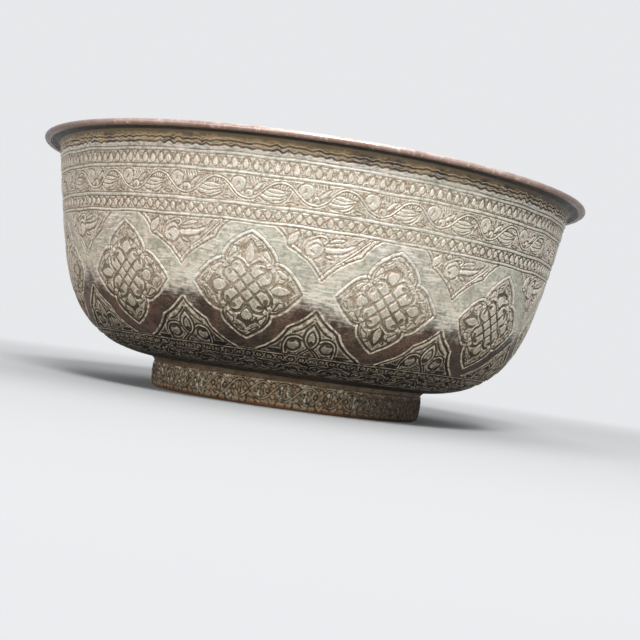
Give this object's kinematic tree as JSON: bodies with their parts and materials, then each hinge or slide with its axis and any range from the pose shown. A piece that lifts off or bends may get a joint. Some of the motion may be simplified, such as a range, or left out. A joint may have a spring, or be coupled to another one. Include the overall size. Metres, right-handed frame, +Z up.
{
  "type": "bowl",
  "caption": "Round tinned copper bowl with a rounded belly, a turned-out rim with a folded edge, engraved bands and lobed medallions, and a soldered foot ring.",
  "frame": {"origin": "centre of the circle that the foot stands on", "axes": "+Z up along the bowl's axis of symmetry, -Y towards the side seen in the picture, the foot ring's seam at +Y"},
  "size_m": [0.2498, 0.2498, 0.1052],
  "materials": {
    "tinned_copper": "old tin over copper, satin grey-cream where it holds, brown where it has worn off, engraved lines filled with dark dirt",
    "foot_copper": "worn tin over copper, engraved, bare reddish copper along the standing edge",
    "braze": "dull yellow brass line, filed flush",
    "solder": "dark brown tarnished solder with dirt"
  },
  "bodies": {
    "root": {"bowl_body": "tinned_copper", "foot_ring": "foot_copper", "foot_seam": "braze", "solder_joint": "solder"}
  },
  "joints": []
}
